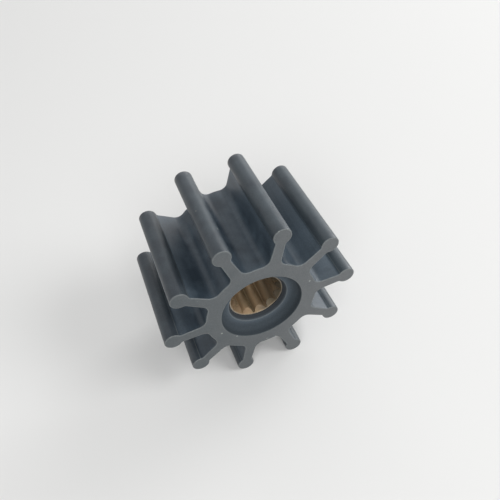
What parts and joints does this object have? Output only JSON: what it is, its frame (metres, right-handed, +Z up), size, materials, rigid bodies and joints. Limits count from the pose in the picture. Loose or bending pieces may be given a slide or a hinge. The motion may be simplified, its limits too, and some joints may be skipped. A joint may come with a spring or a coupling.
{
  "type": "flexible impeller",
  "caption": "Moulded rubber pump impeller with straight vanes ending in round beads, and a brass sleeve with a splined bore set between two dished end recesses.",
  "frame": {"origin": "centre of the bore, half way along the moulding", "axes": "+Y along the shaft axis, away from the end face that the picture shows; +Z up, midway between two vanes; +X to the right seen from that end face"},
  "size_m": [0.0572, 0.034, 0.0546],
  "materials": {
    "moulded_rubber": "matt dark slate rubber with fine mould grain",
    "brass": "machined brass, dulled to brown gold"
  },
  "bodies": {
    "root": {"rubber_impeller": "moulded_rubber", "splined_insert": "brass"}
  },
  "joints": []
}
